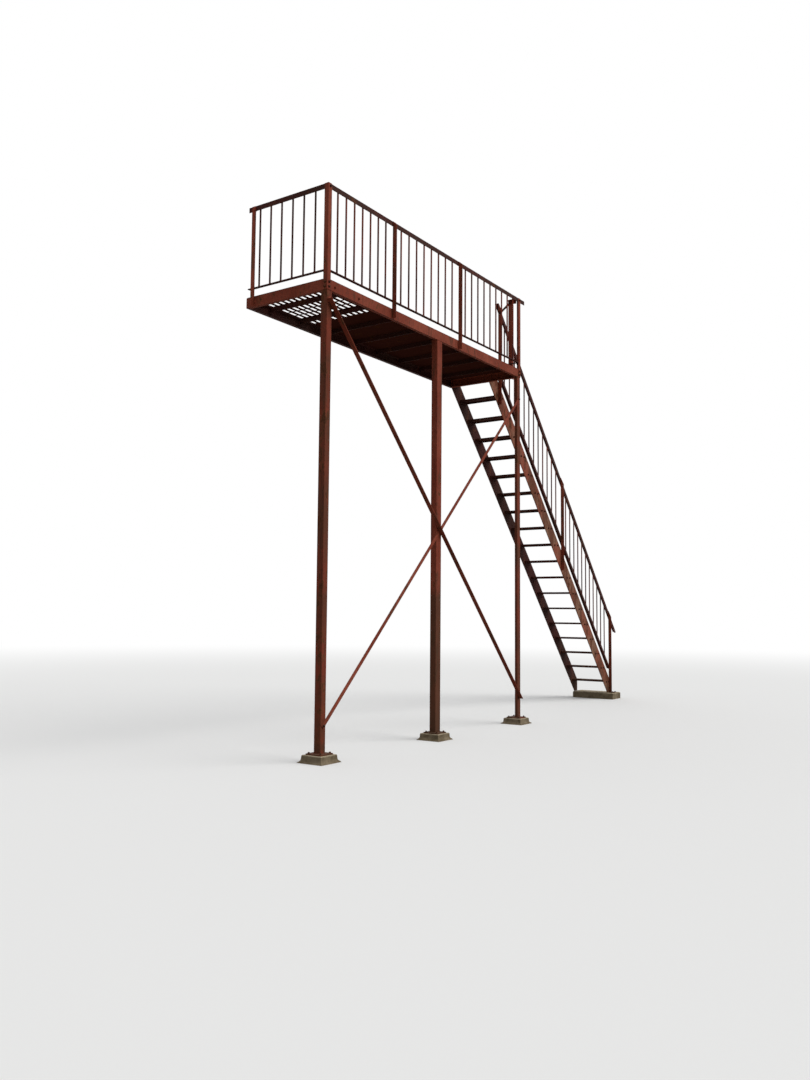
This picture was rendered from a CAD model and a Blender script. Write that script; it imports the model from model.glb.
"""Dresses a steel fire escape stair: deck, bolts, welds, footings and paint, and the studio round it."""

import math
import random

import bmesh
import bpy
from mathutils import Matrix, Vector


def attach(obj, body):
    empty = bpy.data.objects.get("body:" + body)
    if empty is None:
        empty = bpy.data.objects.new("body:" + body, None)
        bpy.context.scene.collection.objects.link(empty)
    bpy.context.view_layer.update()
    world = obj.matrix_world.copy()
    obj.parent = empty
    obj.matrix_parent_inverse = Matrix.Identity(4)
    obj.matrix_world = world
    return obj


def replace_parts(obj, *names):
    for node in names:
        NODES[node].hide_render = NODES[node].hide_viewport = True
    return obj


bl_info = {
    "name": "Fire Escape Dressing",
    "version": (1, 0, 0),
    "blender": (4, 5, 0),
    "location": "3D View > Sidebar > Fire Escape",
    "description": "Adds the bolts, welds, slatted deck and weathered paint of a steel fire escape stair",
    "category": "Object",
}

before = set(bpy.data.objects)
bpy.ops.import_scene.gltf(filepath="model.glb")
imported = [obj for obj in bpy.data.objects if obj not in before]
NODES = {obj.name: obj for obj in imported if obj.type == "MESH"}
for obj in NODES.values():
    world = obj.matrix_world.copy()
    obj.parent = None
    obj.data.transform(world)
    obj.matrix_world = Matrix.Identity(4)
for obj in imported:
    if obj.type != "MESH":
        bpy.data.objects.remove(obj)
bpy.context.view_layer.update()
MM = 0.001

# Sizes of the steelwork in millimetres, as the solids have them. The platform and its posts:
LENGTH, DEPTH, TOP = 3890, 1040, 4480
BEAM, WEB, DECK = 102, 5, 6
UNDER = TOP - BEAM
SLATTED, PLATES, JOINT = 1024, 3, 6
JOISTS = [335 + k * 460 for k in range(8)]
POSTS, POST_Y = (38, 1975, LENGTH - 38), 38 - DEPTH
BASE_TOP, FOOTING_TOP = 82, 70
# The platform's railing:
ANGLE, LEAF = 50, 6
LEG = (ANGLE + LEAF) / 2
RAIL_TOP, LOW_RAIL = TOP + 930, TOP + 96
STANCHIONS, RETURN = (1077, 2393), 166 - DEPTH
PICKET_GAP, PICKET_IN = 148, 12.5
# The stair:
PAD, STEPS, GOING = 100, 19, 212
RISE = (TOP + DECK - PAD - 200) / (STEPS - 1)
SLOPE = RISE / GOING
PITCH = math.atan(SLOPE)
TREAD_X, TREAD_D, TREAD_T, TREAD_LIP, TREAD_IN = LENGTH + 4, 186, 5, 25, 47
RAIL_Y, PLATE, STRINGER = -590, 10, 203
TREAD_ENDS = (RAIL_Y + PLATE, -15)
# The stair's railing, and a level above every rail:
RAIL_POSTS = (LENGTH + 245, LENGTH + 2175, TREAD_X + (STEPS - 1) * GOING + 150)
LOWER_RAIL, HANDRAIL, HANDRAIL_END = 155, 1080, RAIL_POSTS[2] + 310
ABOVE_ALL = TOP + 1200

# Sizes that only the dressing has: half of a trimmed base plate and its anchors' places in millimetres, the
# washers' thickness and the distance under which two corners are one in metres
BASE_HALF, ANCHOR_PLACE = 88, 68
WASHER, MERGE = 2.5 * MM, 0.01 * MM


def site(x, y, z):
    """Turns millimetres from the platform's left end, the wall and the ground into the model's metres."""
    return Vector((x - POSTS[0], y - POST_Y, z)) * MM


def lower_edge(x):
    """Height of the stringers' lower edge."""
    return TOP + DECK - TREAD_LIP - TREAD_IN / math.cos(PITCH) + (TREAD_X - x) * SLOPE


def upper_edge(x):
    """Height of the stringers' upper edge."""
    return lower_edge(x) + STRINGER / math.cos(PITCH)


def tread_top(i):
    """Height of a tread's top, counted down from the deck."""
    return TOP + DECK - i * RISE


def linear(hex_colour):
    """An sRGB hex colour as linear red, green, blue and alpha."""
    parts = [int(hex_colour[i:i + 2], 16) / 255 for i in (1, 3, 5)]
    return tuple(c / 12.92 if c <= 0.04045 else ((c + 0.055) / 1.055) ** 2.4 for c in parts) + (1.0,)


def colour(name, description, default):
    """A colour that a user can change."""
    return bpy.props.FloatVectorProperty(
        name=name, description=description, subtype="COLOR", size=4, min=0, max=1, default=linear(default))


def length(name, description, millimetres):
    """A length that a user can change."""
    return bpy.props.FloatProperty(
        name=name, description=description, unit="LENGTH", subtype="DISTANCE", min=0,
        default=millimetres * MM)


class FinishColours(bpy.types.PropertyGroup):
    """Colours of the paint, rust, deck and concrete."""

    oxide: colour("Red oxide", "Paint where it is soundest", "#7a3422")
    faded: colour("Faded oxide", "Paint that the weather has chalked", "#8b4431")
    grime: colour("Grime", "Soot and old rust stain in the paint", "#381d15")
    deep: colour("Deep oxide", "Older, darker coats on the rails and braces", "#431c17")
    rust: colour("Rust", "Rust where the paint has gone", "#472718")
    rust_bright: colour("Fresh rust", "Newer rust at the edges of bare spots", "#6f4226")
    tan: colour("Tan chalk", "Thin, chalked paint where the old primer shows", "#86614c")
    earth: colour("Brown stain", "Rust stain and dirt that turn the oxide brown", "#5c3321")
    deck: colour("Deck paint", "Dark paint of the deck, worn on top", "#552c25")
    concrete: colour("Concrete", "Weathered cement surface", "#80725c")
    washed: colour("Washed concrete", "Paler cement on top, where the rain washes it", "#b3a48a")
    stain: colour("Damp stain", "Soil on the concrete", "#4c3f29")
    soil: colour("Soil", "Soil splashed on the feet of the posts and the stair", "#46301f")
    dust: colour("Dust", "Dust on what faces up", "#6b5a4a")


class FastenerSizes(bpy.types.PropertyGroup):
    """Sizes of the bolts, anchors and welds."""

    head: length("Bolt head", "Size of the bolt heads across the flats", 19)
    washer: length("Washer", "Diameter of the washers under the heads", 27)
    anchor: length("Anchor nut", "Size of the anchor nuts across the flats", 17)
    weld: length("Weld bead", "Radius of the weld beads", 4)


class StageSettings(bpy.types.PropertyGroup):
    """Camera and lights."""

    eye: bpy.props.FloatVectorProperty(
        name="Camera place", description="Where the camera stands", subtype="TRANSLATION", unit="LENGTH",
        default=(-6.578, -5.448, 1.35))
    heading: bpy.props.FloatProperty(
        name="Heading", description="Camera heading from the wall's direction", subtype="ANGLE",
        default=math.radians(34.53))
    tilt: bpy.props.FloatProperty(
        name="Tilt", description="Camera tilt above the horizon", subtype="ANGLE",
        default=math.radians(4.544))
    roll: bpy.props.FloatProperty(
        name="Roll", description="Camera roll", subtype="ANGLE", default=math.radians(0.4865))
    lens: bpy.props.FloatProperty(
        name="Lens", description="Focal length in millimetres", default=30.84, min=1)
    key: bpy.props.FloatProperty(name="Key light", description="Strength of the soft key light", default=1.8)
    sky: bpy.props.FloatProperty(
        name="Sky light", description="Strength of the light from all round", default=0.6)


# Materials

def add(tree, kind, inputs=None, **fields):
    """Adds one shader node, sets its fields, and gives its sockets values or links."""
    node = tree.nodes.new(kind)
    for field, value in fields.items():
        setattr(node, field, value)
    for socket, value in (inputs or {}).items():
        if isinstance(value, bpy.types.NodeSocket):
            tree.links.new(value, node.inputs[socket])
        else:
            node.inputs[socket].default_value = value
    return node


def clouds(tree, place, size, detail, rough):
    """A cloudy pattern with lumps of a size in millimetres, or of a size each for X, Y and Z."""
    sizes = size if isinstance(size, tuple) else (size, size, size)
    place = add(tree, "ShaderNodeMapping", {"Vector": place, "Scale": [1000 / s for s in sizes]}).outputs[0]
    return add(tree, "ShaderNodeTexNoise",
               {"Vector": place, "Scale": 1.0, "Detail": detail, "Roughness": rough}).outputs[0]


def blotches(tree, place, size, start, end, detail=4.0, rough=0.6, high=1.0):
    """A mask of soft blotches: 0 where the clouds are below start, and high where they are above end."""
    return add(tree, "ShaderNodeMapRange",
               {0: clouds(tree, place, size, detail, rough), 1: start, 2: end, 4: high},
               interpolation_type="SMOOTHSTEP").outputs[0]


def coats(tree, base, *layers):
    """Lays tones over a base colour in turn, each as thick as the product of its masks."""
    for tone, share, *masks in layers:
        for mask in masks:
            share = add(tree, "ShaderNodeMath", {0: share, 1: mask}, operation="MULTIPLY").outputs[0]
        base = add(tree, "ShaderNodeMix", {0: share, 6: base, 7: tone}, data_type="RGBA").outputs[2]
    return base


def new_material(name):
    """A material with an empty node tree, and its tree."""
    material = bpy.data.materials.new(name)
    material.use_nodes = True
    material.node_tree.nodes.clear()
    return material, material.node_tree


def finish_surface(tree, base, roughness, height, depth, sheen):
    """Ends a material in one shader, with a bump from a height mask, depth in millimetres."""
    bump = add(tree, "ShaderNodeBump", {"Height": height, "Strength": 1.0, "Distance": depth * MM})
    shader = add(tree, "ShaderNodeBsdfPrincipled",
                 {"Base Color": base, "Roughness": roughness, "Specular IOR Level": sheen,
                  "Normal": bump.outputs[0]})
    add(tree, "ShaderNodeOutputMaterial", {"Surface": shader.outputs[0]})


# Red oxide alkyd paint, brushed on hot-rolled steel: chalked matt in patches, brown rust stain run
# down the upright faces, and bare rusty spots with a brighter rim where the coat has lifted.
def oxide_alkyd(name, coat, chalk, tones, rusty, stained, runs=0.3, soiled=0.0, weather=0.0, gloss=0.8,
                sheen=0.15):
    """Soiled darkens the lowest 1.6 m, and weather bares the side that faces the platform's left."""
    material, tree = new_material(name)
    place = add(tree, "ShaderNodeTexCoord").outputs["Object"]
    level = add(tree, "ShaderNodeSeparateXYZ", {0: place}).outputs[2]
    facing = add(tree, "ShaderNodeSeparateXYZ",
                 {0: add(tree, "ShaderNodeNewGeometry").outputs["Normal"]})
    upright = add(tree, "ShaderNodeMath", {0: facing.outputs[2]}, operation="ABSOLUTE").outputs[0]
    upright = add(tree, "ShaderNodeMapRange", {0: upright, 1: 0.3, 2: 0.8, 3: 1.0, 4: 0.0}).outputs[0]

    # Chalked clouds of about 600 mm, stain patches 90 mm wide and 400 mm high, soot mottle of 40 mm, and
    # runs 24 mm wide
    chalked = blotches(tree, place, 625, 0.38, 0.62, 3.0)
    patch = blotches(tree, place, (91, 91, 417), 0.62 - 0.2 * stained, 0.70 - 0.2 * stained, 5.0, 0.65)
    mottle = blotches(tree, place, 42, 0.46, 0.74, 6.0, 0.7)
    run = blotches(tree, place, (24, 24, 625), 0.52, 0.70, 4.0)
    # Soil splashed on the lowest half metre in spots of 70 mm
    splash = add(tree, "ShaderNodeMapRange", {0: level, 1: 0.08, 2: 0.5, 3: 0.8, 4: 0.0}).outputs[0]
    spots = blotches(tree, place, 71, 0.3, 0.55, 5.0, 0.7)
    base = coats(tree, coat, (chalk, chalked), (tones.earth, patch, 0.85), (tones.grime, mottle, 0.45),
                 (tones.grime, run, upright, runs), (tones.soil, splash, spots))
    if soiled:
        foot = add(tree, "ShaderNodeMapRange", {0: level, 1: 1.52, 2: 1.66, 3: soiled, 4: 0.0}).outputs[0]
        base = coats(tree, base, (tones.soil, foot))

    # Bare spots of 100 to 200 mm with ragged edges, their rust in scales of 10 mm, and dust on what faces up
    lift = clouds(tree, place, (111, 111, 200), 9.0, 0.66)
    lift = add(tree, "ShaderNodeMath", {0: facing.outputs[0], 1: -weather, 2: lift},
               operation="MULTIPLY_ADD").outputs[0]
    start = 0.70 - 0.17 * rusty
    rim = add(tree, "ShaderNodeMapRange", {0: lift, 1: start - 0.02, 2: start}).outputs[0]
    bare = add(tree, "ShaderNodeMapRange", {0: lift, 1: start, 2: start + 0.02}).outputs[0]
    scales = blotches(tree, place, 10.5, 0.35, 0.65, 5.0, 0.7)
    dust = add(tree, "ShaderNodeMapRange",
               {0: facing.outputs[2], 1: 0.4, 2: 1.0, 3: 0.0, 4: 0.25}).outputs[0]
    rust = coats(tree, tones.rust, (tones.rust_bright, scales, 0.5))
    base = coats(tree, base, (tones.rust_bright, rim, 0.6), (rust, bare), (tones.dust, dust))

    # Brush marks 4 mm wide, and pits in the bare rust
    rough = add(tree, "ShaderNodeMapRange", {0: bare, 3: gloss, 4: 0.93}).outputs[0]
    brushed = blotches(tree, place, (3.85, 3.85, 33), 0.2, 0.8, 3.0, high=0.2)
    pits = add(tree, "ShaderNodeMath", {0: scales, 1: 0.6}, operation="SUBTRACT").outputs[0]
    height = add(tree, "ShaderNodeMath", {0: bare, 1: pits, 2: brushed}, operation="MULTIPLY_ADD").outputs[0]
    finish_surface(tree, base, rough, height, 0.9, sheen)


# Cast concrete, struck off by hand: cement with soil stains of 110 mm, worn paler on top in patches of
# 55 mm, with pits of 14 mm, and sand of 2.4 mm, which is coarser than real sand so that it shows.
def cast_concrete(name, cement, washed, stain):
    """Grey brown cement, stained by the soil round it and washed by rain on top."""
    material, tree = new_material(name)
    place = add(tree, "ShaderNodeTexCoord").outputs["Object"]
    level = add(tree, "ShaderNodeSeparateXYZ", {0: place}).outputs[2]
    facing = add(tree, "ShaderNodeSeparateXYZ",
                 {0: add(tree, "ShaderNodeNewGeometry").outputs["Normal"]}).outputs[2]
    top = add(tree, "ShaderNodeMapRange", {0: facing, 1: 0.2, 2: 0.7}).outputs[0]
    above = add(tree, "ShaderNodeMapRange", {0: level, 1: 0.045, 2: 0.064}).outputs[0]
    soiled = blotches(tree, place, 111, 0.35, 0.7, 5.0)
    worn = blotches(tree, place, 55, 0.25, 0.6, 4.0, high=0.85)
    pits = blotches(tree, place, 14.3, 0.62, 0.7, 3.0)
    base = coats(tree, cement, (stain, soiled, 0.75), (washed, top, above, worn), (stain, pits, 0.5))
    sand = blotches(tree, place, 2.4, 0.35, 0.7, 2.0, high=0.35)
    height = add(tree, "ShaderNodeMath", {0: sand, 1: pits}, operation="SUBTRACT").outputs[0]
    finish_surface(tree, base, 0.9, height, 1.2, 0.25)


FINISHES = {
    "oxide_alkyd_left_post": ("left_post",),
    "oxide_alkyd_middle_post": ("middle_post",),
    "oxide_alkyd_right_post": ("right_post",),
    "oxide_alkyd_frame": ("front_beam", "left_end_beam", "right_end_beam"),
    "oxide_alkyd_braces": ("rising_brace", "falling_brace"),
    "oxide_alkyd_stringer": ("outer_stringer",),
    "oxide_alkyd_stanchions": (
        "corner_stanchion", "front_stanchions", "end_stanchion", "wall_stanchion", "return_stanchion",
        "stair_rail_posts"),
    "oxide_alkyd_pickets": (
        "front_pickets_left", "front_pickets_middle", "front_pickets_right", "return_railing",
        "stair_pickets"),
    "old_oxide_alkyd": (
        "wall_ledger", "deck_joists", "left_railing", "front_top_rail", "front_bottom_rail",
        "stringer_clips", "inner_stringer", "stair_handrail", "stair_lower_rail", "rail_link"),
    "worn_oxide_treads": tuple(f"tread_{i:02d}" for i in range(STEPS)),
    "cast_concrete": ("left_footing", "middle_footing", "right_footing", "stair_pad"),
}


# Mesh work

def new_piece(name, bm, material, turn=True):
    """Makes a piece of the steelwork from a mesh. Turn points its faces outward."""
    if turn:
        bmesh.ops.recalc_face_normals(bm, faces=bm.faces)
    mesh = bpy.data.meshes.new(name)
    bm.to_mesh(mesh)
    bm.free()
    mesh.materials.append(bpy.data.materials[material])
    piece = bpy.data.objects.new(name, mesh)
    bpy.context.scene.collection.objects.link(piece)
    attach(piece, "root")
    return piece


def skin(bm, rings):
    """Joins rings of points, one over the other, into a closed body."""
    for low, high in zip(rings, rings[1:]):
        for k in range(len(low)):
            after = (k + 1) % len(low)
            bm.faces.new((low[k], low[after], high[after], high[k]))
    bm.faces.new(rings[0][::-1])
    bm.faces.new(rings[-1])


def turned(bm, foot, axis, outline, sides=16, turn=0.0):
    """Sweeps an outline of (radius, height) in metres round an axis, closed at both ends."""
    stand = Vector(axis).to_track_quat("Z", "Y").to_matrix()
    angles = [turn + 2 * math.pi * k / sides for k in range(sides)]
    skin(bm, [[bm.verts.new(foot + stand @ Vector((r * math.cos(a), r * math.sin(a), z))) for a in angles]
              for r, z in outline])


def washer(bm, at, axis, wide):
    """A flat washer with its edges eased."""
    r, ease = wide / 2, WASHER * 0.2
    turned(bm, at, axis, [(r - ease, 0), (r, ease), (r, WASHER - ease), (r - ease, WASHER)], 20)


def hex_head(bm, at, axis, flats, high, turn):
    """A hexagon head, its top corners turned off and its face a little domed."""
    r = flats / math.sqrt(3)
    turned(bm, at, axis, [(r, 0), (r, high * 0.8), (r * 0.88, high), (r * 0.5, high * 1.04)], 6, turn)


def stub(bm, at, axis, wide, long, pitch=2.0 * MM):
    """The threaded end of a bolt or rod, with its end eased."""
    r, outline = wide / 2, []
    turns = max(2, int(long / pitch))
    for k in range(turns):
        z = long * k / turns
        outline += [(r, z), (r * 0.88, z + 0.5 * long / turns)]
    outline += [(r, long * 0.97), (r * 0.8, long)]
    turned(bm, at, axis, outline, 10)


def bolt(bm, at, axis, sizes, rng, grip=0.0):
    """A bolt head on its washer, and with a grip also the washer, nut and thread on the far side."""
    axis, flats = Vector(axis), sizes.head
    washer(bm, at, axis, sizes.washer)
    hex_head(bm, at + axis * WASHER, axis, flats, flats * 0.62, rng.uniform(0, 1))
    if grip:
        back, nut = at - axis * grip, flats * 0.8
        washer(bm, back, -axis, sizes.washer)
        hex_head(bm, back - axis * WASHER, -axis, flats, nut, rng.uniform(0, 1))
        stub(bm, back - axis * (WASHER + nut), -axis, flats * 0.6, flats * 0.5)


def bead(bm, path, radius, rng, sides=6, step=3 * MM):
    """A weld bead along a path of points: a rough tube with a ripple every two rings."""
    points = []
    for a, b in zip(path, path[1:]):
        count = max(2, int((b - a).length / step))
        points += [(a + (b - a) * (k / count), (b - a).normalized()) for k in range(count)]
    points.append((path[-1], (path[-1] - path[-2]).normalized()))
    rings = []
    for n, (p, along) in enumerate(points):
        turn = along.to_track_quat("Z", "Y").to_matrix()
        end = 0.45 if n in (0, len(points) - 1) else 1.0
        r = radius * end * (1.1 if n % 2 else 0.86) * rng.uniform(0.9, 1.1)
        rings.append([bm.verts.new(p + turn @ Vector((r * math.cos(a), r * math.sin(a), 0)))
                      for a in (2 * math.pi * (k + 0.5) / sides for k in range(sides))])
    skin(bm, rings)


def bar(bm, corners, along):
    """A straight bar from a loop of corners, swept by a vector."""
    skin(bm, [[bm.verts.new(c + shift) for c in corners] for shift in (Vector(), along)])


def eased_plate(bm, low, high, ease=1.5 * MM):
    """A flat plate between two corners, its top edges eased."""
    def loop(inset, z):
        return [bm.verts.new((x, y, z)) for x, y in (
            (low.x + inset, low.y + inset), (high.x - inset, low.y + inset),
            (high.x - inset, high.y - inset), (low.x + inset, high.y - inset))]
    skin(bm, [loop(0, low.z), loop(0, high.z - ease), loop(ease, high.z)])


def lozenges(bm, xs, ys, level, rng, pitch=27.0, high=1.3):
    """Raised lozenges on a plate's top, every second one turned across, sized in millimetres."""
    margin, long, wide, ridge = 16, 13, 3.4, 7
    cols, rows = (int((b - a - margin) / pitch) for a, b in (xs, ys))
    left, front = (sum(side) / 2 - (n - 1) * pitch / 2 for side, n in ((xs, cols), (ys, rows)))
    for i in range(cols):
        for j in range(rows):
            turn = math.radians(45 if (i + j) % 2 else -45)
            along = Vector((math.cos(turn), math.sin(turn)))
            across = Vector((-math.sin(turn), math.cos(turn)))
            mid = Vector((left + i * pitch, front + j * pitch))
            foot = [mid + along * u + across * v for u, v in ((-long, 0), (0, -wide), (long, 0), (0, wide))]
            f = [bm.verts.new(site(p.x, p.y, level)) for p in foot]
            c = [bm.verts.new(site(p.x, p.y, level + high * rng.uniform(0.75, 1)))
                 for p in (mid - along * ridge, mid + along * ridge)]
            for face in ((f[0], f[1], c[0]), (f[1], f[2], c[1]), (f[1], c[1], c[0]), (f[0], c[0], f[3]),
                         (f[3], c[1], f[2]), (f[3], c[0], c[1]), (f[3], f[2], f[1], f[0])):
                bm.faces.new(face)


def flat_bar(bm, start, end, wide, thick, across, ease=1.2 * MM):
    """A flat bar lying between two points, its long edges rolled round."""
    h = wide / 2
    outline = ((-h + ease, 0), (h - ease, 0), (h, ease), (h, thick - ease), (h - ease, thick),
               (-h + ease, thick), (-h, thick - ease), (-h, ease))
    bar(bm, [start + across * u + Vector((0, 0, v)) for u, v in outline], end - start)


def footing_ring(bm, x, half, level, rough, rng, points=12):
    """A square ring round a post's foot, in places drawn in by up to a roughness in millimetres."""
    ring = []
    for along_x, along_y, from_x, from_y in ((1, 0, -1, -1), (0, 1, 1, -1), (-1, 0, 1, 1), (0, -1, -1, 1)):
        for k in range(points):
            u, reach = 2 * k / points, half - rng.uniform(0, rough)
            ring.append(bm.verts.new(site(
                x + (from_x + along_x * u) * reach, POST_Y + (from_y + along_y * u) * reach, level)))
    return ring


def trimmed(name, node, cuts, material):
    """Replaces a solid by a cut copy.

    A cut is a point on its plane, the way towards what comes off, and where it reaches: left, right and top.
    """
    bm = bmesh.new()
    bm.from_mesh(NODES[node].data)
    bmesh.ops.remove_doubles(bm, verts=bm.verts, dist=MERGE)
    for point, outward, (left, right, level) in cuts:
        low, high = site(left, 0, 0), site(right, 0, level)
        near = {v for v in bm.verts if low.x <= v.co.x <= high.x and v.co.z <= high.z}
        parts = [part for group in (bm.edges, bm.faces) for part in group if near.issuperset(part.verts)]
        bmesh.ops.bisect_plane(bm, geom=[*near, *parts], plane_co=point, plane_no=outward, clear_outer=True)
        for face in bmesh.ops.holes_fill(bm, edges=[edge for edge in bm.edges if edge.is_boundary])["faces"]:
            face.normal_update()
            if face.normal.dot(outward) < 0:
                face.normal_flip()
        bmesh.ops.remove_doubles(bm, verts=bm.verts, dist=MERGE)
        bmesh.ops.dissolve_degenerate(bm, edges=bm.edges, dist=MERGE)
    if not all(edge.is_manifold for edge in bm.edges):
        raise RuntimeError(f"{name} isn't closed after its cuts")
    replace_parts(new_piece(name, bm, material, turn=False), node)


def picket_places(start, end):
    """Where the pickets stand between two ends of a bay."""
    gaps = math.ceil((end - start) / PICKET_GAP)
    return [start + k * (end - start) / gaps for k in range(1, gaps)]


# Operators

class FIREESCAPE_OT_paint(bpy.types.Operator):
    """Makes the paints and the concrete, and puts them on the solids"""
    bl_idname = "fire_escape.paint"
    bl_label = "Paint the Steelwork"

    def execute(self, context):
        c = context.scene.fire_escape_colours
        oxide_alkyd("oxide_alkyd_left_post", c.oxide, c.earth, c, rusty=0.7, stained=0.5, runs=0.5,
                    weather=0.03)
        oxide_alkyd("oxide_alkyd_middle_post", c.oxide, c.faded, c, rusty=0.4, stained=0.3, runs=0.4,
                    soiled=0.75)
        oxide_alkyd("oxide_alkyd_right_post", c.oxide, c.earth, c, rusty=0.5, stained=0.5, runs=0.4)
        oxide_alkyd("oxide_alkyd_frame", c.oxide, c.faded, c, rusty=0.45, stained=0.25, runs=0.3)
        oxide_alkyd("oxide_alkyd_stanchions", c.oxide, c.faded, c, rusty=0.5, stained=0.45, runs=0.3)
        oxide_alkyd("oxide_alkyd_braces", c.oxide, c.faded, c, rusty=0.5, stained=0.4, runs=0.1)
        oxide_alkyd("oxide_alkyd_stringer", c.faded, c.tan, c, rusty=0.6, stained=0.8, runs=0.15)
        oxide_alkyd("oxide_alkyd_pickets", c.deep, c.oxide, c, rusty=0.4, stained=0.3, runs=0.3)
        oxide_alkyd("old_oxide_alkyd", c.deep, c.grime, c, rusty=0.4, stained=0.2, runs=0.3)
        oxide_alkyd("worn_oxide_treads", c.deep, c.grime, c, rusty=0.6, stained=0.4, runs=0.1, gloss=0.85)
        oxide_alkyd("worn_oxide_deck", c.deck, c.deck, c, rusty=0.5, stained=0.1, gloss=0.95, sheen=0.0)
        oxide_alkyd("rusty_oxide_fasteners", c.deep, c.grime, c, rusty=0.8, stained=0.3, runs=0.0)
        cast_concrete("cast_concrete", c.concrete, c.washed, c.stain)
        for material, nodes in FINISHES.items():
            for name in nodes:
                NODES[name].data.materials.clear()
                NODES[name].data.materials.append(bpy.data.materials[material])
        return {"FINISHED"}


class FIREESCAPE_OT_deck(bpy.types.Operator):
    """Lays the deck: slats riveted over straps at the left end, and tread plates along the rest"""
    bl_idname = "fire_escape.deck"
    bl_label = "Lay the Deck"

    def execute(self, context):
        rng = random.Random(2)
        front, back = JOINT - DEPTH, -JOINT
        self.lay_slats(front, back, rng)
        long = (LENGTH - SLATTED) / PLATES
        for i in range(PLATES):
            self.lay_plate(i + 1, SLATTED + i * long + JOINT / 2, long - JOINT, front, back, rng)
        return {"FINISHED"}

    @staticmethod
    def lay_slats(front, back, rng):
        """Slats along the platform, riveted to the straps that run under them to the wall."""
        bm = bmesh.new()
        strap, slat, strap_high, slat_high = 22, 38, 2.5, 3.8
        straps = [(JOINT + strap) / 2 + k * (SLATTED - JOINT - strap) / 9 for k in range(10)]
        slats = [front + slat / 2 + k * (back - front - slat) / 14 for k in range(15)]
        for x in straps:
            high = DECK if x in (straps[0], straps[-1]) else strap_high
            flat_bar(bm, site(x, front, TOP), site(x, back, TOP), strap * MM, high * MM, Vector((1, 0, 0)))
        for y in slats:
            bend = [rng.uniform(-0.8, 0.8) for _ in range(2)]
            flat_bar(bm, site(straps[0] + 9, y + bend[0], TOP + strap_high),
                     site(straps[-1] - 9, y + bend[1], TOP + strap_high),
                     slat * MM, slat_high * MM, Vector((0, 1, 0)))
            # Rivet heads on the slat, and the rivets' ends under the strap
            for x in straps[1:-1]:
                at = site(x + rng.uniform(-1, 1), y + rng.uniform(-2, 2), TOP + 6.1)
                r = rng.uniform(6.2, 7.4) * MM
                turned(bm, at, (0, 0, 1), [(r, 0), (r * 0.9, 1.5 * MM), (r * 0.5, 2.6 * MM)], 10)
                turned(bm, site(x, y, TOP + 0.2), (0, 0, -1), [(r * 0.8, 0), (r * 0.7, 1.5 * MM)], 8)
        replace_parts(new_piece("slatted_deck", bm, "worn_oxide_deck"), "slatted_deck_panel")

    @staticmethod
    def lay_plate(number, x, long, front, back, rng):
        """A plate with raised lozenges on its top."""
        bm = bmesh.new()
        eased_plate(bm, site(x, front, TOP), site(x + long, back, TOP + DECK))
        lozenges(bm, (x, x + long), (front, back), TOP + DECK, rng)
        plate = new_piece(f"tread_plate_{number}", bm, "worn_oxide_deck")
        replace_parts(plate, f"deck_plate_{number}")


class FIREESCAPE_OT_rail_ends(bpy.types.Operator):
    """Snips the outstanding legs of stanchions and newels under the rails, and levels the handrail's foot"""
    bl_idname = "fire_escape.rail_ends"
    bl_label = "Trim the Rail Ends"

    def execute(self, context):
        snip = RAIL_TOP - 2
        front = [(site(0, -DEPTH - LEAF, snip), Vector((0, -1, 1)), (0, LENGTH, ABOVE_ALL))]
        trimmed("front_stanchion_angles", "front_stanchions", front, "oxide_alkyd_stanchions")
        wall = [(site(-LEAF, 0, snip), Vector((-1, 0, 1)), (-ANGLE - 1, 1, ABOVE_ALL))]
        trimmed("wall_stanchion_angle", "wall_stanchion", wall, "oxide_alkyd_stanchions")
        end = [(site(LENGTH + LEAF, 0, snip), Vector((1, 0, 1)),
                (LENGTH - 1, LENGTH + ANGLE + 1, ABOVE_ALL))]
        trimmed("return_stanchion_angle", "return_stanchion", end, "oxide_alkyd_stanchions")
        # The newels' legs are cut more steeply, to clear the pitched handrail
        newels = [(site(x, RAIL_Y - LEAF, upper_edge(x) + HANDRAIL - 4), Vector((0, -2.2, 1)),
                   (x - 1, x + ANGLE + 1, ABOVE_ALL)) for x in RAIL_POSTS]
        trimmed("stair_newels", "stair_rail_posts", newels, "oxide_alkyd_stanchions")
        level = upper_edge(HANDRAIL_END) + HANDRAIL - 20
        foot = [(site(HANDRAIL_END, 0, level), Vector((0, 0, -1)), (LENGTH, HANDRAIL_END + 1, ABOVE_ALL))]
        trimmed("stair_handrail_angle", "stair_handrail", foot, "old_oxide_alkyd")
        return {"FINISHED"}


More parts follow.
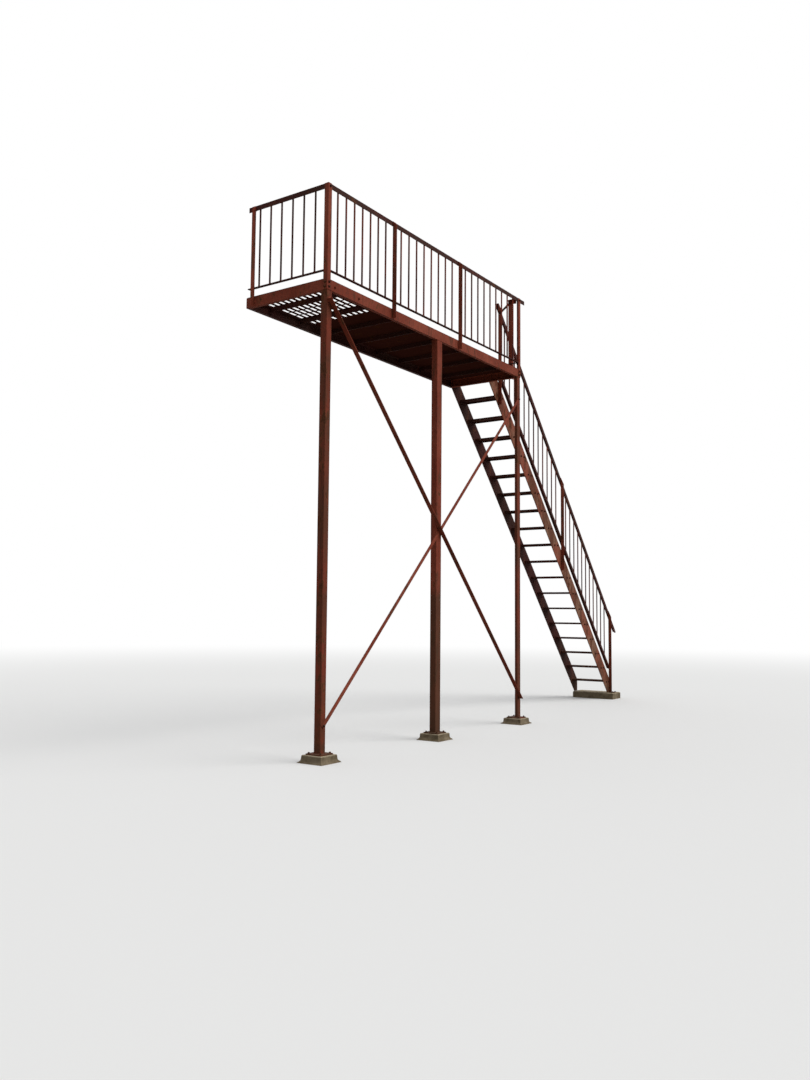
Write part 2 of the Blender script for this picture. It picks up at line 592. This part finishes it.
class FIREESCAPE_OT_platform_bolts(bpy.types.Operator):
    """Bolts the stanchions, braces, deck plates, front beam and wall channel of the platform"""
    bl_idname = "fire_escape.platform_bolts"
    bl_label = "Bolt the Platform"

    def execute(self, context):
        sizes = context.scene.fire_escape_fasteners
        rng = random.Random(3)
        self.bolt_stanchions(sizes, rng)
        self.bolt_braces(sizes, rng)
        self.bolt_deck(rng)
        self.bolt_front_beam(sizes, rng)
        self.bolt_wall_channel(sizes, rng)
        return {"FINISHED"}

    @staticmethod
    def bolt_stanchions(sizes, rng):
        """Two bolts through each foot and the beam's web, and one through each head and the top rail."""
        bm = bmesh.new()
        on_beam, on_rail = (LEAF + WEB) * MM, 2 * LEAF * MM
        heights = (UNDER + 28, UNDER + 74)
        outer, right, inset = -DEPTH - LEAF, LENGTH + LEAF, 22
        wall, back = -78, RETURN - inset
        for x in (STANCHIONS[0] + LEAF / 2, STANCHIONS[1] + LEAF / 2, inset, LENGTH - inset):
            for z in heights:
                bolt(bm, site(x, outer, z), (0, -1, 0), sizes, rng, on_beam)
            bolt(bm, site(x, outer, RAIL_TOP - LEG), (0, -1, 0), sizes, rng, on_rail)
        for x, y, way in ((-LEAF, inset - DEPTH, -1), (right, inset - DEPTH, 1), (-LEAF, wall, -1),
                          (right, back, 1)):
            for z in heights:
                bolt(bm, site(x, y, z), (way, 0, 0), sizes, rng, on_beam)
        for x, y, way in ((-LEAF, wall, -1), (right, back, 1)):
            bolt(bm, site(x, y, RAIL_TOP - 32), (way, 0, 0), sizes, rng, on_rail)
        new_piece("stanchion_bolts", bm, "rusty_oxide_fasteners")

    @staticmethod
    def bolt_braces(sizes, rng):
        """A bolt at each brace's ends, and one where they cross by the middle post."""
        bm = bmesh.new()
        falling, crossing = ((POSTS[0], UNDER - 92), (POSTS[2], 348)), (POSTS[1] + 22, 2263)
        rising = ((POSTS[0], 330), (POSTS[2], UNDER - 290))
        for x, z in (*falling, crossing):
            bolt(bm, site(x, -DEPTH - 2 * LEAF, z), (0, -1, 0), sizes, rng)
        for x, z in rising:
            bolt(bm, site(x, -DEPTH - LEAF, z), (0, -1, 0), sizes, rng)
        new_piece("brace_bolts", bm, "rusty_oxide_fasteners")

    @staticmethod
    def bolt_deck(rng):
        """Bolts with domed heads on the deck plates, and their nuts under the joists' legs."""
        bm = bmesh.new()
        dome = [(r * MM, z * MM) for r, z in ((9, 0), (8.6, 2), (6, 4.4), (2, 5.2))]
        nut, nut_high, edge = 17 * MM, 9 * MM, 60
        for x in [x + LEG for x in JOISTS if x > SLATTED]:
            for y in (edge - DEPTH, -DEPTH / 2, -edge):
                at = site(x, y, TOP + DECK)
                turned(bm, at, (0, 0, 1), dome, 14)
                below = at - Vector((0, 0, (DECK + LEAF) * MM))
                hex_head(bm, below, (0, 0, -1), nut, nut_high, rng.uniform(0, 1))
        new_piece("deck_bolts", bm, "rusty_oxide_fasteners")

    @staticmethod
    def bolt_front_beam(sizes, rng):
        """Two bolts through the front beam's web, left of the first stanchion."""
        bm = bmesh.new()
        for x in (117, 491):
            bolt(bm, site(x, -DEPTH, UNDER + 46), (0, -1, 0), sizes, rng, WEB * MM)
        new_piece("beam_bolts", bm, "oxide_alkyd_frame")

    @staticmethod
    def bolt_wall_channel(sizes, rng):
        """Three pairs of bolts that hold the channel to the wall, each with its shank in its hole."""
        bm = bmesh.new()
        span, pair, shank = 3200, 50, 8 * MM
        for x in (-span / 2, 0, span / 2):
            for z in (-pair / 2, pair / 2):
                at = site(LENGTH / 2 + x, -WEB, UNDER + BEAM / 2 + z)
                bolt(bm, at, (0, -1, 0), sizes, rng)
                turned(bm, at, (0, 1, 0), [(shank, 0), (shank, 4.5 * MM)])
        new_piece("wall_bolts", bm, "rusty_oxide_fasteners")


class FIREESCAPE_OT_feet(bpy.types.Operator):
    """Casts the footings, trims the base plates, and sets the anchors and the newel's foot plate"""
    bl_idname = "fire_escape.feet"
    bl_label = "Anchor the Feet"

    def execute(self, context):
        sizes = context.scene.fire_escape_fasteners
        rng = random.Random(5)
        # The cuts reach as high as the base plate, so the post above it stays whole
        for x, side in zip(POSTS, ("left", "middle", "right")):
            around = (x - 110, x + 110, BASE_TOP + 2)
            cuts = [(site(x + way * BASE_HALF, 0, 0), Vector((way, 0, 0)), around) for way in (-1, 1)]
            cuts += [(site(0, POST_Y + way * BASE_HALF, 0), Vector((0, way, 0)), around) for way in (-1, 1)]
            trimmed(f"{side}_post_steel", f"{side}_post", cuts, f"oxide_alkyd_{side}_post")
            self.cast(f"{side}_footing", x, rng)
        self.anchor_posts(sizes, rng)
        self.anchor_newel(sizes, rng)
        return {"FINISHED"}

    def anchor_posts(self, sizes, rng):
        """Four anchors in each base plate."""
        bm = bmesh.new()
        for x in POSTS:
            for dx in (-ANCHOR_PLACE, ANCHOR_PLACE):
                for dy in (-ANCHOR_PLACE, ANCHOR_PLACE):
                    self.anchor(bm, site(x + dx, POST_Y + dy, BASE_TOP), sizes, rng)
        new_piece("base_anchors", bm, "rusty_oxide_fasteners")

    def anchor_newel(self, sizes, rng):
        """The lowest newel's foot plate, with two anchors in front of the newel."""
        bm = bmesh.new()
        x, top = RAIL_POSTS[2], PAD + 10
        eased_plate(bm, site(x - 45, RAIL_Y - 100, PAD), site(x + 95, RAIL_Y + 20, top))
        for dx in (-25, 75):
            self.anchor(bm, site(x + dx, RAIL_Y - 75, top), sizes, rng)
        new_piece("newel_foot_plate", bm, "rusty_oxide_fasteners")

    @staticmethod
    def cast(footing, x, rng):
        """A footing cast by hand: upright sides with worn top edges, and a toe where the concrete spread."""
        bm = bmesh.new()
        # Half of the width, height and roughness in millimetres
        outline = ((144.99, 0, 0), (143, 4, 6), (137, 9, 5), (129, 15, 4), (122, 23, 3), (118, 34, 2),
                   (116, 61, 1.5), (114, 67, 1.5), (110, FOOTING_TOP, 2))
        skin(bm, [footing_ring(bm, x, half, level, rough, rng) for half, level, rough in outline])
        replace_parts(new_piece(f"{footing}_cast", bm, "cast_concrete"), footing)

    @staticmethod
    def anchor(bm, at, sizes, rng):
        """A washer, a thin nut and the end of its threaded rod."""
        up, high = Vector((0, 0, 1)), sizes.anchor * 0.5
        washer(bm, at, up, sizes.anchor * 1.4)
        hex_head(bm, at + up * WASHER, up, sizes.anchor, high, rng.uniform(0, 1))
        stub(bm, at + up * (WASHER + high), up, sizes.anchor * 0.62, rng.uniform(2, 4) * MM)


class FIREESCAPE_OT_stair_fixings(bpy.types.Operator):
    """Adds the tread cleats with their bolts, and the bolts of the stair's rails, newels and link bar"""
    bl_idname = "fire_escape.stair_fixings"
    bl_label = "Fix the Stair"

    def execute(self, context):
        sizes = context.scene.fire_escape_fasteners
        rng = random.Random(8)
        bolts = bmesh.new()
        self.fix_treads(bolts, sizes, rng)
        self.raise_grip(rng)
        self.bolt_newels(bolts, sizes, rng)
        self.bolt_link_and_clips(bolts, sizes, rng)
        new_piece("stair_bolts", bolts, "rusty_oxide_fasteners")
        return {"FINISHED"}

    @staticmethod
    def fix_treads(bolts, sizes, rng):
        """A cleat of 28 by 30 by 4 mm angle under both ends of a tread, and bolts on the outer stringer."""
        cleats = bmesh.new()
        wide, deep, thick, along = 28, -30, 4, Vector((150 * MM, 0, 0))
        cleat = [(0, 0), (wide, 0), (wide, -thick), (thick, -thick), (thick, deep), (0, deep)]
        for i in range(STEPS):
            x, z = TREAD_X + i * GOING, tread_top(i) - TREAD_T
            for face, way in zip(TREAD_ENDS, (1, -1)):
                bar(cleats, [site(x + 18, face + way * u, z + v) for u, v in cleat], along)
            for dx in (48, 138):
                bolt(bolts, site(x + dx, RAIL_Y, z - 18), (0, -1, 0), sizes, rng, (PLATE + thick) * MM)
        new_piece("tread_cleats", cleats, "old_oxide_alkyd")

    @staticmethod
    def raise_grip(rng):
        """Raised lozenges on the treads."""
        grip = bmesh.new()
        for i in range(STEPS):
            x = TREAD_X + i * GOING
            lozenges(grip, (x, x + TREAD_D), TREAD_ENDS, tread_top(i), rng)
        new_piece("tread_grip", grip, "worn_oxide_treads")

    @staticmethod
    def bolt_newels(bolts, sizes, rng):
        """Bolts each newel's foot to the outer stringer, and the two rails to the newel."""
        for x in RAIL_POSTS:
            face = x + LEG
            up = upper_edge(face)
            feet = (up - 60, up - 200) if x < RAIL_POSTS[2] else (up - 70,)
            for z in feet:
                bolt(bolts, site(face, RAIL_Y - LEAF, z), (0, -1, 0), sizes, rng, (PLATE + LEAF) * MM)
            for z in (up + LOWER_RAIL + 24, up + HANDRAIL - 40):
                bolt(bolts, site(face, RAIL_Y - LEAF, z), (0, -1, 0), sizes, rng, 2 * LEAF * MM)

    @staticmethod
    def bolt_link_and_clips(bolts, sizes, rng):
        """Bolts the link bar's two ends, and the clips that hang the stringers on the platform."""
        link, thick = RAIL_TOP - 34, 8
        hold = (thick + LEAF) * MM
        bolt(bolts, site(LENGTH + LEAF + thick, RETURN - 19, link), (1, 0, 0), sizes, rng, hold)
        bolt(bolts, site(RAIL_POSTS[0] - thick, RAIL_Y - 22, link), (-1, 0, 0), sizes, rng, hold)
        clip, z = 27, TOP + DECK - TREAD_LIP - 31
        for y, way in zip(TREAD_ENDS, (1, -1)):
            bolt(bolts, site(LENGTH + LEAF, y + way * clip, z), (1, 0, 0), sizes, rng)
            bolt(bolts, site(LENGTH + clip, y + way * LEAF, z), (0, way, 0), sizes, rng)


class FIREESCAPE_OT_welds(bpy.types.Operator):
    """Lays the weld beads at the posts, the frame's corners, the joists and the pickets"""
    bl_idname = "fire_escape.welds"
    bl_label = "Lay the Welds"

    def execute(self, context):
        radius = context.scene.fire_escape_fasteners.weld
        rng = random.Random(13)
        self.weld_posts(radius, rng)
        self.weld_frame(radius, rng)
        self.weld_pickets(rng)
        return {"FINISHED"}

    @staticmethod
    def weld_posts(radius, rng):
        """Beads round each post, on its base plate and under the frame."""
        bm = bmesh.new()
        # Half of each post's width and its depth. The right post is a channel, welded the other way round.
        for x, half, deep in zip(POSTS, (38, 51, -38), (76, 76, 36)):
            corners = [(x - half, 0), (x + half, 0), (x + half, deep), (x - half, deep), (x - half, 0)]
            for z in (BASE_TOP, UNDER):
                bead(bm, [site(px, py - DEPTH, z) for px, py in corners], radius, rng)
        new_piece("post_welds", bm, "oxide_alkyd_frame")

    @staticmethod
    def weld_frame(radius, rng):
        """Beads in the frame's inner corners, and along both sides of the joists' ends."""
        bm = bmesh.new()
        for x, y in ((0, -DEPTH), (LENGTH, -DEPTH), (0, 0), (LENGTH, 0)):
            inward = Vector((-WEB if x else WEB, WEB if y else -WEB, 0)) * MM
            bead(bm, [site(x, y, UNDER + 2) + inward, site(x, y, TOP - 2) + inward], radius, rng)
        for x in JOISTS:
            for y in (WEB + 1 - DEPTH, -WEB - 1):
                for dx in (0, LEAF):
                    bead(bm, [site(x + dx, y, TOP - 48), site(x + dx, y, TOP - 13)], radius * 0.8, rng)
        new_piece("frame_welds", bm, "oxide_alkyd_frame")

    def weld_pickets(self, rng):
        """Welds at both ends of the pickets, on the platform's front and left sides and on the stair."""
        bm = bmesh.new()
        corner = 25
        edges = [corner, *STANCHIONS, LENGTH - corner]
        spots = [(x, PICKET_IN - DEPTH) for a, b in zip(edges, edges[1:]) for x in picket_places(a, b)]
        spots += [(PICKET_IN, -s) for s in picket_places(12, DEPTH - corner)]
        for x, y in spots:
            self.collar(bm, site(x, y, LOW_RAIL), (0, 0, 1), rng)
            self.collar(bm, site(x, y, RAIL_TOP - LEAF), (0, 0, -1), rng)
        lean, leaf = Vector((math.sin(PITCH), 0, math.cos(PITCH))), LEAF / math.cos(PITCH)
        for a, b in zip(RAIL_POSTS, RAIL_POSTS[1:]):
            for x in picket_places(a + ANGLE, b):
                low, high = upper_edge(x) + LOWER_RAIL + leaf, upper_edge(x) + HANDRAIL - leaf
                self.collar(bm, site(x, RAIL_Y + PICKET_IN, low), lean, rng)
                self.collar(bm, site(x, RAIL_Y + PICKET_IN, high), -lean, rng)
        new_piece("picket_welds", bm, "oxide_alkyd_pickets")

    @staticmethod
    def collar(bm, at, axis, rng):
        """The lumpy weld round a picket's end."""
        outline = ((12.5, -0.5), (12, 2), (10, 5), (8, 7))
        turned(bm, at, axis, [(r * MM * rng.uniform(0.9, 1.1), z * MM) for r, z in outline], 8,
               rng.uniform(0, 1))


class FIREESCAPE_OT_stage(bpy.types.Operator):
    """Sets the floor, the lights, the sky and the camera"""
    bl_idname = "fire_escape.stage"
    bl_label = "Set the Stage"

    def execute(self, context):
        scene = context.scene
        self.lay_floor(scene)
        self.set_sky(scene, scene.fire_escape_stage.sky)
        self.set_key_light(scene, scene.fire_escape_stage.key)
        self.set_camera(scene, scene.fire_escape_stage)
        scene.view_settings.view_transform = "Standard"
        return {"FINISHED"}

    def lay_floor(self, scene):
        """A matt grey floor, shown pale, that turns into plain white between 9 and 30 m from its middle."""
        material, tree = new_material("studio_floor")
        place = add(tree, "ShaderNodeTexCoord").outputs["Object"]
        far = add(tree, "ShaderNodeVectorMath", {0: place}, operation="LENGTH").outputs["Value"]
        far = add(tree, "ShaderNodeMapRange", {0: far, 1: 9.0, 2: 30.0},
                  interpolation_type="SMOOTHSTEP").outputs[0]
        seen = self.seen(tree)
        tone = coats(tree, linear("#77736a"), (linear("#f2f1ee"), seen))
        near = add(tree, "ShaderNodeBsdfDiffuse", {"Color": tone}).outputs[0]
        white = add(tree, "ShaderNodeEmission", {"Color": (1, 1, 1, 1), "Strength": seen}).outputs[0]
        mixed = add(tree, "ShaderNodeMixShader", {0: far, 1: near, 2: white}).outputs[0]
        add(tree, "ShaderNodeOutputMaterial", {"Surface": mixed})
        bm = bmesh.new()
        bmesh.ops.create_circle(bm, cap_ends=True, segments=96, radius=60)
        mesh = bpy.data.meshes.new("floor")
        bm.to_mesh(mesh)
        bm.free()
        mesh.materials.append(material)
        floor = bpy.data.objects.new("floor", mesh)
        floor.location = (3.5, 0, 0)
        scene.collection.objects.link(floor)

    def set_sky(self, scene, strength):
        """Soft light from all round, seen as plain white."""
        world = bpy.data.worlds.new("studio_sky")
        world.use_nodes = True
        tree = world.node_tree
        tree.nodes.clear()
        soft = add(tree, "ShaderNodeBackground",
                   {"Color": linear("#f4f6fa"), "Strength": strength}).outputs[0]
        plain = add(tree, "ShaderNodeBackground", {"Color": (1, 1, 1, 1), "Strength": 1.0}).outputs[0]
        mixed = add(tree, "ShaderNodeMixShader", {0: self.seen(tree), 1: soft, 2: plain}).outputs[0]
        add(tree, "ShaderNodeOutputWorld", {"Surface": mixed})
        scene.world = world

    @staticmethod
    def set_key_light(scene, strength):
        """A broad key light from the front and above, a little to the right."""
        lamp = bpy.data.lights.new("key_light", "SUN")
        lamp.energy, lamp.angle = strength, math.radians(50)
        key = bpy.data.objects.new("key_light", lamp)
        key.rotation_mode = "QUATERNION"
        key.rotation_quaternion = Vector((0.30, -0.72, 0.62)).to_track_quat("Z", "Y")
        scene.collection.objects.link(key)

    @staticmethod
    def set_camera(scene, s):
        """The camera, turned, tilted and rolled as its settings say."""
        look = Vector((math.cos(s.tilt) * math.cos(s.heading), math.cos(s.tilt) * math.sin(s.heading),
                       math.sin(s.tilt)))
        right = Vector((math.sin(s.heading), -math.cos(s.heading), 0))
        top = right.cross(look)
        across = right * math.cos(s.roll) + top * math.sin(s.roll)
        upward = top * math.cos(s.roll) - right * math.sin(s.roll)
        lens = bpy.data.cameras.new("camera")
        lens.sensor_width, lens.lens, lens.clip_end = 36, s.lens, 200
        camera = bpy.data.objects.new("camera", lens)
        turn = Matrix((across, upward, -look)).transposed().to_4x4()
        camera.matrix_world = Matrix.Translation(s.eye) @ turn
        scene.collection.objects.link(camera)
        scene.camera = camera

    @staticmethod
    def seen(tree):
        """1 for a ray that shows the surface or sky itself, or its image in gloss or glass."""
        path = add(tree, "ShaderNodeLightPath")
        both = add(tree, "ShaderNodeMath",
                   {0: path.outputs["Is Camera Ray"], 1: path.outputs["Is Glossy Ray"]},
                   operation="MAXIMUM").outputs[0]
        return add(tree, "ShaderNodeMath", {0: both, 1: path.outputs["Is Transmission Ray"]},
                   operation="MAXIMUM").outputs[0]


class FIREESCAPE_PT_panel(bpy.types.Panel):
    """Lists the steps of the dressing"""
    bl_label = "Fire Escape"
    bl_space_type = "VIEW_3D"
    bl_region_type = "UI"
    bl_category = "Fire Escape"

    def draw(self, context):
        for step in OPERATORS:
            self.layout.operator(step.bl_idname)
        for name in GROUPS:
            group = getattr(context.scene, name)
            box = self.layout.box()
            for key in group.__annotations__:
                box.prop(group, key)


OPERATORS = (
    FIREESCAPE_OT_paint, FIREESCAPE_OT_deck, FIREESCAPE_OT_rail_ends, FIREESCAPE_OT_platform_bolts,
    FIREESCAPE_OT_feet, FIREESCAPE_OT_stair_fixings, FIREESCAPE_OT_welds, FIREESCAPE_OT_stage,
)
GROUPS = {
    "fire_escape_colours": FinishColours,
    "fire_escape_fasteners": FastenerSizes,
    "fire_escape_stage": StageSettings,
}
CLASSES = (*GROUPS.values(), *OPERATORS, FIREESCAPE_PT_panel)


def register():
    """Registers the classes and hangs the settings on the scene."""
    for cls in CLASSES:
        bpy.utils.register_class(cls)
    for name, group in GROUPS.items():
        setattr(bpy.types.Scene, name, bpy.props.PointerProperty(type=group))


def unregister():
    """Takes the settings and the classes away again."""
    for name in GROUPS:
        delattr(bpy.types.Scene, name)
    for cls in reversed(CLASSES):
        bpy.utils.unregister_class(cls)


def main():
    """Runs every step in order."""
    register()
    for step in OPERATORS:
        group, name = step.bl_idname.split(".")
        if getattr(getattr(bpy.ops, group), name)() != {"FINISHED"}:
            raise RuntimeError(f"{step.bl_label} didn't finish")


if __name__ == "__main__":
    main()
